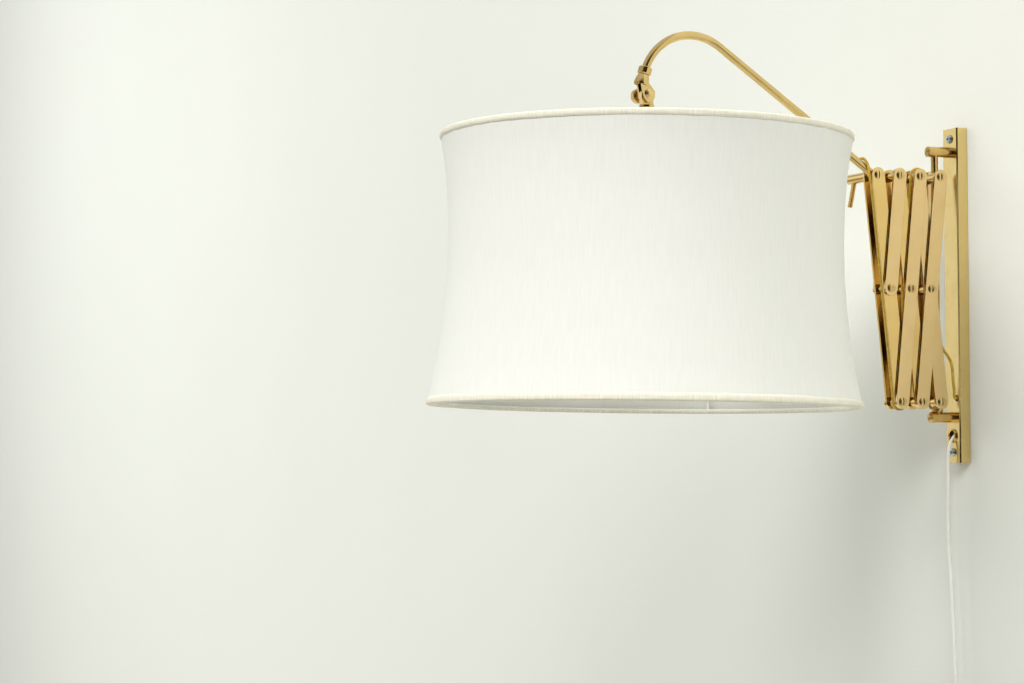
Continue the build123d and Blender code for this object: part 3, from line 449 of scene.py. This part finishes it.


# ---------------------------------------------------------------------------------------
# Cable loops at the joints, as fixed mesh tubes
# ---------------------------------------------------------------------------------------
def tube_piece(name, points, radius, material):
    """Mesh tube along the smooth line of a route."""
    curve = cord_curve(name + "_line", points, radius, material)
    mesh = bpy.data.meshes.new_from_object(curve)
    bpy.data.objects.remove(curve)
    mesh.name = name
    piece = bpy.data.objects.new(name, mesh)
    bpy.context.collection.objects.link(piece)
    mesh.shade_smooth()
    return piece


LINK = 0.1077
LEAN = radians(5.95)
ROD_Y = -0.0287
PIVOT_LOW_Z = -0.1022
COLUMN = LINK * sin(LEAN)
ROW = LINK * cos(LEAN)
CABLE_X = 0.00495
WRAP = 0.005 + CABLE_R + 0.0003
FRONT_DIR = Vector((0, -sin(LEAN), cos(LEAN)))
FRONT_SIDE = Vector((0, -cos(LEAN), -sin(LEAN)))
BACK_DIR = Vector((0, sin(LEAN), cos(LEAN)))
BACK_SIDE = Vector((0, -cos(LEAN), sin(LEAN)))
CROSS_ANGLE = asin(2 * WRAP / LINK)
CROSS_SIDE = BACK_SIDE * cos(CROSS_ANGLE) - BACK_DIR * sin(CROSS_ANGLE)


def pivot(column, row, across=0.0):
    return Vector((across, ROD_Y - column * COLUMN, PIVOT_LOW_Z + row * ROW))


ARM_PIVOT = pivot(6, 2)
ARM_RISE = radians(34.6)
ARM_DIR = Vector((0, -cos(ARM_RISE), sin(ARM_RISE)))
ARM_UP = Vector((0, sin(ARM_RISE), cos(ARM_RISE)))


def cable_piece(name, points, body_a, body_b, start, end, *nodes):
    """A cable length between two bodies joined by one joint, as one fixed mesh tube."""
    piece = tube_piece(name, points, CABLE_R, CABLE)
    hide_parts(*nodes)
    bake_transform(piece)


front_high = pivot(6, 2, CABLE_X) + FRONT_SIDE * WRAP - FRONT_DIR * 0.012
front_low = pivot(4, 0, CABLE_X) + FRONT_SIDE * WRAP
middle_low = pivot(4, 0, CABLE_X) - CROSS_SIDE * WRAP
middle_in = pivot(3, 1, CABLE_X) + CROSS_SIDE * WRAP
cross_run = (middle_in - middle_low).normalized()
cable_piece(
    "cable_lower_bend",
    (front_low, front_low - FRONT_DIR * WRAP, middle_low - cross_run * WRAP, middle_low),
    "front_in", "mid_out", front_low, middle_low, "cable_low_turn",
)

middle_high = pivot(2, 2, CABLE_X) + BACK_SIDE * WRAP
rear_high = pivot(2, 2, CABLE_X) - FRONT_SIDE * WRAP
cable_piece(
    "cable_upper_bend",
    (middle_high, middle_high + BACK_DIR * WRAP, rear_high + FRONT_DIR * WRAP, rear_high),
    "mid_out", "rear_in", middle_high, rear_high, "cable_top_turn",
)

cable_rises = ARM_PIVOT + ARM_DIR * 0.023 + ARM_UP * 0.0004
cable_leaves = ARM_PIVOT + Vector((0.0016, -0.0124, 0.0166))
cable_piece(
    "cable_arm_bend",
    (
        cable_rises + ARM_DIR * 0.008 - ARM_UP * 0.0012,
        cable_rises,
        cable_leaves,
        ARM_PIVOT + Vector((0.0055, -0.0092, 0.0096)),
        ARM_PIVOT + Vector((0.0053, -0.0086, 0.0008)),
        front_high + FRONT_DIR * 0.006,
        front_high,
    ),
    "arm", "front_in", cable_leaves, front_high + FRONT_DIR * 0.004, "cable_arm_loop",
)

rear_low = pivot(1, 1, CABLE_X) - FRONT_SIDE * WRAP - FRONT_DIR * 0.044
hand_over = Vector((0.0104, -0.0172, -0.0820))
cable_piece(
    "cable_swing_bend",
    (
        rear_low,
        rear_low - FRONT_DIR * 0.0085,
        Vector((0.0052, -0.0246, -0.0525)),
        Vector((0.0082, -0.0206, -0.0590)),
        Vector((0.0104, -0.0176, -0.0680)),
        hand_over,
    ),
    "rear_in", "swing", rear_low, hand_over, "cable_swing_loop",
)

cable_in = Vector((0.0075, PLATE_FACE_Y, -0.0985))
cable_piece(
    "cable_wall_bend",
    (
        hand_over,
        hand_over + Vector((0.0005, 0.0010, -0.0084)),
        cable_in + Vector((0.0016, -0.0040, -0.0012)),
        cable_in + Vector((0.0000, 0.0026, 0.0012)),
        Vector((0.0054, -0.0046, -0.0890)),
        Vector((0.0038, -0.0046, -0.0800)),
    ),
    "swing", "wall", hand_over, cable_in, "cable_wall_loop",
)


# ---------------------------------------------------------------------------------------
# Mesh helpers
# ---------------------------------------------------------------------------------------
def mesh_piece(name, vertices, faces, material, smooth=True):
    mesh = bpy.data.meshes.new(name)
    mesh.from_pydata(vertices, [], faces)
    mesh.validate()
    mesh.update()
    piece = bpy.data.objects.new(name, mesh)
    bpy.context.collection.objects.link(piece)
    mesh.materials.append(material)
    if smooth:
        mesh.shade_smooth()
    return piece


def ring_surface(name, section, around, place, material, closed=False, uv_size=None):
    """Sections joined in a ring: place(section point, index, turn) gives each vertex."""
    count = len(section)
    vertices = []
    for step in range(around):
        turn = 2 * pi * step / around
        for index, point in enumerate(section):
            vertices.append(place(point, index, turn))
    faces = []
    spans = count if closed else count - 1
    for step in range(around):
        after = (step + 1) % around
        for index in range(spans):
            upper = (index + 1) % count
            faces.append((
                step * count + index, after * count + index,
                after * count + upper, step * count + upper,
            ))
    piece = mesh_piece(name, vertices, faces, material)
    if uv_size is not None:
        layer = piece.data.uv_layers.new(name="metres")
        number = 0
        for step in range(around):
            for index in range(spans):
                for across, up in ((0, 0), (1, 0), (1, 1), (0, 1)):
                    u = (step + across) / around * uv_size[0]
                    v = (index + up) / spans * uv_size[1]
                    layer.data[number].uv = (u, v)
                    number += 1
    return piece


# ---------------------------------------------------------------------------------------
# Shade: stretched slub cloth between two wires, with bias tape over the wires
# ---------------------------------------------------------------------------------------
WAIST = (
    (0.1880, 0.139), (0.1832, 0.109), (0.1800, 0.068), (0.1802, 0.012),
    (0.1844, -0.036), (0.1906, -0.077), (0.1972, -0.108),
)


def waist_radius(z):
    """Smooth radius of the shade's side at a height, between the drawn profile's points."""
    if z >= WAIST[0][1]:
        return WAIST[0][0]
    if z <= WAIST[-1][1]:
        return WAIST[-1][0]
    for place in range(len(WAIST) - 1):
        upper, lower = WAIST[place], WAIST[place + 1]
        if z >= lower[1]:
            before = WAIST[max(place - 1, 0)]
            after = WAIST[min(place + 2, len(WAIST) - 1)]
            span = lower[1] - upper[1]
            part = (z - upper[1]) / span
            slope_in = (lower[0] - before[0]) / (lower[1] - before[1]) * span
            slope_out = (after[0] - upper[0]) / (after[1] - upper[1]) * span
            square = part * part
            cube = square * part
            return (
                (2 * cube - 3 * square + 1) * upper[0] + (cube - 2 * square + part) * slope_in
                + (3 * square - 2 * cube) * lower[0] + (cube - square) * slope_out
            )
    return WAIST[-1][0]


TILT = head_matrix()


def round_head(radius, turn, z):
    point = Vector((radius * sin(turn), HEAD_AXIS_Y - radius * cos(turn), z))
    return TILT @ point


COVER_ROWS = 110
COVER_AROUND = 360
COVER_T = 0.0007
COVER_INSET = 0.0005
COVER_MARGIN = 0.0012
cover_height = SHADE_TOP - SHADE_LOW - 2 * COVER_MARGIN
cover_heights = [
    SHADE_TOP - COVER_MARGIN - cover_height * row / COVER_ROWS for row in range(COVER_ROWS + 1)
]


def cover_point(z, index, turn):
    """Side of the shade, with the faint pulls of hand stretched cloth near its edges."""
    spot = Vector((3.2 * sin(turn), 3.2 * cos(turn), z * 9))
    pull = noise.noise(spot) * 0.00035
    near_edge = max(0.0, 1 - min(SHADE_TOP - z, z - SHADE_LOW) / 0.035)
    gather = noise.noise(Vector((24 * sin(turn), 24 * cos(turn), z * 3 + 7))) * 0.00030
    radius = waist_radius(z) - COVER_INSET + pull + gather * near_edge
    return round_head(radius, turn, z)


shade = ring_surface(
    "shade_cloth_cover", cover_heights, COVER_AROUND, cover_point, CLOTH,
    uv_size=(1.17, 0.2505),
)
thick = shade.modifiers.new("thickness", "SOLIDIFY")
thick.thickness = COVER_T
thick.offset = -1
bpy.context.view_layer.objects.active = shade
with bpy.context.temp_override(object=shade, active_object=shade):
    bpy.ops.object.modifier_apply(modifier=thick.name)
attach(shade, "head")
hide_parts("shade_cover")


# ---------------------------------------------------------------------------------------
# Bias tape trims: folded over the wire, with the small gathers of a bent tape
# ---------------------------------------------------------------------------------------
TAPE_EDGE = 0.0016
TAPE_OUTSIDE = 0.0015
TAPE_INSIDE = 0.0054
TAPE_AROUND = 480


def trim_section(height, lip, sign):
    """Section of the folded tape: (outward, up) from the shade's side at its edge."""
    edge, outside, inside = TAPE_EDGE, TAPE_OUTSIDE, TAPE_INSIDE
    points = [(outside - 0.0009, -sign * height)]
    points.append((outside - 0.0003, -sign * (height - 0.0006)))
    for part in range(1, 6):
        up = height - 0.0006 - (height - 0.0006 - edge) * part / 5
        bulge = 0.00030 * sin(pi * part / 5)
        points.append((outside + bulge, -sign * up))
    for part in range(1, 8):
        turn = pi * part / 8
        middle = (outside - inside) / 2
        reach = (outside + inside) / 2
        points.append((middle + reach * cos(turn), sign * (edge * sin(turn)) - sign * edge))
    for part in range(1, 5):
        points.append((-inside, -sign * (edge + (lip - edge) * part / 4)))
    points.append((-inside + 0.0008, -sign * lip))
    for part in range(1, 4):
        up = lip - (lip - edge) * part / 4
        points.append((-inside + 0.0008 + 0.0002 * part, -sign * up))
    for part in range(1, 4):
        points.append((-0.0022 + 0.0007 * part, -sign * (edge + 0.0006)))
    for part in range(1, 4):
        up = edge + (height - edge) * part / 4
        points.append((0.0001, -sign * up))
    return points


def trim_piece(name, edge_z, sign, height, lip, seed):
    section = trim_section(height, lip, sign)
    edge_radius = waist_radius(edge_z - sign * 0.001)

    def place(point, index, turn):
        z = edge_z + point[1]
        side = (waist_radius(z) if point[0] > -0.001 else edge_radius) - COVER_INSET
        spot = Vector((40 * sin(turn), 40 * cos(turn), seed + index * 0.35))
        ripple = noise.noise(spot) * 0.00028
        hem = noise.noise(Vector((15 * sin(turn), 15 * cos(turn), seed + 20))) * 0.00035
        sway = hem if abs(point[1]) > 0.004 else 0.0
        return round_head(side + point[0] + ripple, turn, z + sway)

    piece = ring_surface(
        name, section, TAPE_AROUND, place, TRIM, closed=True, uv_size=(1.2, 0.022),
    )
    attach(piece, "head")
    return piece


top_tape = trim_piece("top_bias_tape", SHADE_TOP, 1, 0.0066, 0.0032, 3.0)
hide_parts("top_trim")
low_tape = trim_piece("bottom_bias_tape", SHADE_LOW, -1, 0.0074, 0.0032, 11.0)
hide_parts("bottom_trim")


# ---------------------------------------------------------------------------------------
# Screws that hold the plate to the wall: pan heads with a cross recess
# ---------------------------------------------------------------------------------------
SCREW_R = 0.0041
SCREW_PROUD = 0.0025
SCREW_AROUND = 48


def wall_screw(name, z, spin):
    radius, proud, around = SCREW_R, SCREW_PROUD, SCREW_AROUND
    rings = [(radius, -0.0002), (radius, 0.0006)]
    for part in range(1, 8):
        turn = pi / 2 * part / 8
        rings.append((radius * (0.55 + 0.45 * cos(turn)), 0.0006 + (proud - 0.0006) * sin(turn)))
    rings.append((radius * 0.50, proud))
    mesh = bmesh.new()
    loops = []
    for ring, height in rings:
        loop = []
        for step in range(around):
            turn = 2 * pi * step / around
            loop.append(mesh.verts.new((ring * cos(turn), -height, ring * sin(turn))))
        loops.append(loop)
    for lower, upper in zip(loops, loops[1:]):
        for step in range(around):
            after = (step + 1) % around
            mesh.faces.new((lower[step], lower[after], upper[after], upper[step]))
    mesh.faces.new(loops[-1])
    mesh.faces.new(list(reversed(loops[0])))
    bmesh.ops.recalc_face_normals(mesh, faces=mesh.faces)
    data = bpy.data.meshes.new(name)
    mesh.to_mesh(data)
    mesh.free()
    piece = bpy.data.objects.new(name, data)
    bpy.context.collection.objects.link(piece)
    data.shade_smooth()

    cutter_mesh = bmesh.new()
    for turn in (0, pi / 2):
        arm = bmesh.ops.create_cube(cutter_mesh, size=1.0)["verts"]
        bmesh.ops.scale(cutter_mesh, vec=(0.0042, 0.0016, 0.00095), verts=arm)
        bmesh.ops.rotate(cutter_mesh, matrix=Matrix.Rotation(turn, 3, "Y"), verts=arm)
    for vertex in cutter_mesh.verts:
        if vertex.co.y > 0:
            vertex.co.x *= 0.35
            vertex.co.z *= 0.35
        vertex.co.y -= proud - 0.0002
    cutter_data = bpy.data.meshes.new(name + "_recess")
    cutter_mesh.to_mesh(cutter_data)
    cutter_mesh.free()
    cutter = bpy.data.objects.new(name + "_recess", cutter_data)
    bpy.context.collection.objects.link(cutter)
    cut = piece.modifiers.new("recess", "BOOLEAN")
    cut.operation = "DIFFERENCE"
    cut.solver = "EXACT"
    cut.use_self = True
    cut.object = cutter
    bpy.context.view_layer.objects.active = piece
    with bpy.context.temp_override(object=piece, active_object=piece):
        bpy.ops.object.modifier_apply(modifier=cut.name)
    bpy.data.objects.remove(cutter)
    data.transform(Matrix.Rotation(radians(spin), 4, "Y"))
    data.transform(Matrix.Translation((0, PLATE_FACE_Y, z)))
    data.materials.append(ZINC)
    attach(piece, "wall")


wall_screw("wall_screw_top", BOLT_Z, 20)
wall_screw("wall_screw_bottom", -BOLT_Z, 52)


# ---------------------------------------------------------------------------------------
# Tie round the coil of put-away cord
# ---------------------------------------------------------------------------------------
TIE_STEPS = 32
TIE_R = 0.0005


def coil_tie():
    """A thin wire wrapped twice round one side of the coil."""
    reach = COIL_SECTION_R + 0.0011
    points = []
    for step in range(TIE_STEPS + 1):
        turn = 4 * pi * step / TIE_STEPS
        points.append(Vector((
            COIL_R + reach * cos(turn),
            CORD_Y + reach * 0.98 * sin(turn),
            COIL_Z - 0.0015 + 0.003 * step / TIE_STEPS,
        )))
    piece = tube_piece("coil_tie", points, TIE_R, PLASTIC)
    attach(piece, "wall")


coil_tie()


# ---------------------------------------------------------------------------------------
# Room: a pale wall behind the plate and a pale floor far below
# ---------------------------------------------------------------------------------------
def stage_material(name, colour):
    """Matt paint on the side that faces the room; from behind it is open, like a cut-away."""
    material, tree, shader = new_material(name)
    place = add_node(tree, "ShaderNodeTexCoord").outputs["Object"]
    tone = noise_node(tree, place, 2.0, 2.0, 0.5)
    darker = tuple(value * 0.985 for value in colour)
    tree.links.new(ramp(tree, tone, ((0.3, colour), (0.7, darker))), shader.inputs["Base Color"])
    roller = noise_node(tree, place, 160.0, 3.0, 0.6)
    tree.links.new(bump(tree, roller, 0.0006, 0.25), shader.inputs["Normal"])
    set_sockets(shader, Roughness=0.95, Specular_IOR_Level=0.1)
    open_back = add_node(tree, "ShaderNodeMixShader")
    behind = add_node(tree, "ShaderNodeNewGeometry").outputs["Backfacing"]
    clear = add_node(tree, "ShaderNodeBsdfTransparent")
    tree.links.new(behind, open_back.inputs[0])
    tree.links.new(shader.outputs[0], open_back.inputs[1])
    tree.links.new(clear.outputs[0], open_back.inputs[2])
    tree.links.new(open_back.outputs[0], tree.nodes["Material Output"].inputs["Surface"])
    return material


def stage_sheet(name, corners, material):
    mesh_piece(name, corners, [(0, 1, 2, 3)], material, smooth=False)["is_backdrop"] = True


WALL_Y = 0.0006
FLOOR_Z = -1.6
ROOM_LEFT = -4
WALL_RIGHT = 1.15
WALL_TOP = 2.4
FLOOR_RIGHT = 1.4
FLOOR_FRONT = -3.2
WALL_PAINT = stage_material("wall_paint", (0.83, 0.84, 0.79))
FLOOR_PAINT = stage_material("floor_paint", (0.80, 0.80, 0.77))
stage_sheet(
    "room_wall",
    (
        (ROOM_LEFT, WALL_Y, FLOOR_Z), (WALL_RIGHT, WALL_Y, FLOOR_Z),
        (WALL_RIGHT, WALL_Y, WALL_TOP), (ROOM_LEFT, WALL_Y, WALL_TOP),
    ),
    WALL_PAINT,
)
stage_sheet(
    "room_floor",
    (
        (ROOM_LEFT, FLOOR_FRONT, FLOOR_Z), (FLOOR_RIGHT, FLOOR_FRONT, FLOOR_Z),
        (FLOOR_RIGHT, WALL_Y, FLOOR_Z), (ROOM_LEFT, WALL_Y, FLOOR_Z),
    ),
    FLOOR_PAINT,
)


# ---------------------------------------------------------------------------------------
# Light
# ---------------------------------------------------------------------------------------
def area_light(name, place, target, size, power, colour, spread=180):
    data = bpy.data.lights.new(name, "AREA")
    data.shape = "RECTANGLE"
    data.size, data.size_y = size
    data.energy = power
    data.color = colour
    data.spread = radians(spread)
    lamp = bpy.data.objects.new(name, data)
    lamp.location = place
    lamp.visible_glossy = False
    lamp.rotation_euler = (Vector(target) - Vector(place)).to_track_quat("-Z", "Y").to_euler()
    bpy.context.collection.objects.link(lamp)


area_light("key_light", (0.50, -2.3, 2.05), (-0.1, -0.1, 0.0), (1.3, 1.2), 42, (1.0, 0.985, 0.95))
area_light("room_fill", (3.0, -1.7, 2.0), (0.0, -0.2, 0.0), (1.5, 1.5), 84, (1.0, 0.995, 0.99))
area_light(
    "left_fill", (-3.2, -2.0, 1.1), (-2.7, 0.0, -0.1), (2.2, 1.6), 20, (0.98, 1.0, 0.98), 125,
)


def studio_world():
    """Bright room all round, with one dark patch and one window for the brass to reflect."""
    world = bpy.data.worlds.new("studio")
    bpy.context.scene.world = world
    world.use_nodes = True
    tree = world.node_tree
    sky = tree.nodes["Background"]
    where = add_node(tree, "ShaderNodeTexCoord").outputs["Generated"]
    split = add_node(tree, "ShaderNodeSeparateXYZ")
    tree.links.new(where, split.inputs["Vector"])
    rise = ramp(tree, split.outputs["Z"], (
        (0.00, (0.30, 0.30, 0.28)), (0.25, (0.42, 0.42, 0.40)), (1.00, (0.76, 0.77, 0.75)),
    ))
    toward = add_node(tree, "ShaderNodeVectorMath", operation="DOT_PRODUCT")
    tree.links.new(where, toward.inputs[0])
    toward.inputs[1].default_value = (0.88, -0.46, -0.10)
    shade_side = ramp(tree, toward.outputs["Value"], (
        (0.58, (1.00, 1.00, 1.00)), (0.76, (0.20, 0.15, 0.11)),
        (0.88, (0.05, 0.035, 0.03)), (1.00, (0.05, 0.035, 0.03)),
    ))
    across = add_node(tree, "ShaderNodeVectorMath", operation="DOT_PRODUCT")
    tree.links.new(where, across.inputs[0])
    across.inputs[1].default_value = (-0.905, -0.405, 0.13)
    window = ramp(tree, across.outputs["Value"], (
        (0.955, (0.00, 0.00, 0.00)), (0.985, (0.62, 0.62, 0.60)), (1.00, (0.70, 0.70, 0.68)),
    ))
    tones = add_node(tree, "ShaderNodeMix", data_type="RGBA", blend_type="MULTIPLY")
    tones.inputs[0].default_value = 1.0
    tree.links.new(rise, tones.inputs[6])
    tree.links.new(shade_side, tones.inputs[7])
    lit = add_node(tree, "ShaderNodeMix", data_type="RGBA", blend_type="ADD")
    lit.inputs[0].default_value = 1.0
    tree.links.new(tones.outputs[2], lit.inputs[6])
    tree.links.new(window, lit.inputs[7])
    tree.links.new(lit.outputs[2], sky.inputs["Color"])
    sky.inputs["Strength"].default_value = 1.0


studio_world()
bpy.context.scene.view_settings.view_transform = "Standard"

visual_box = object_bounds()
boxes = {"cad": cad_box, "visual": visual_box}
{key: [list(corner) for corner in box] for key, box in boxes.items()}
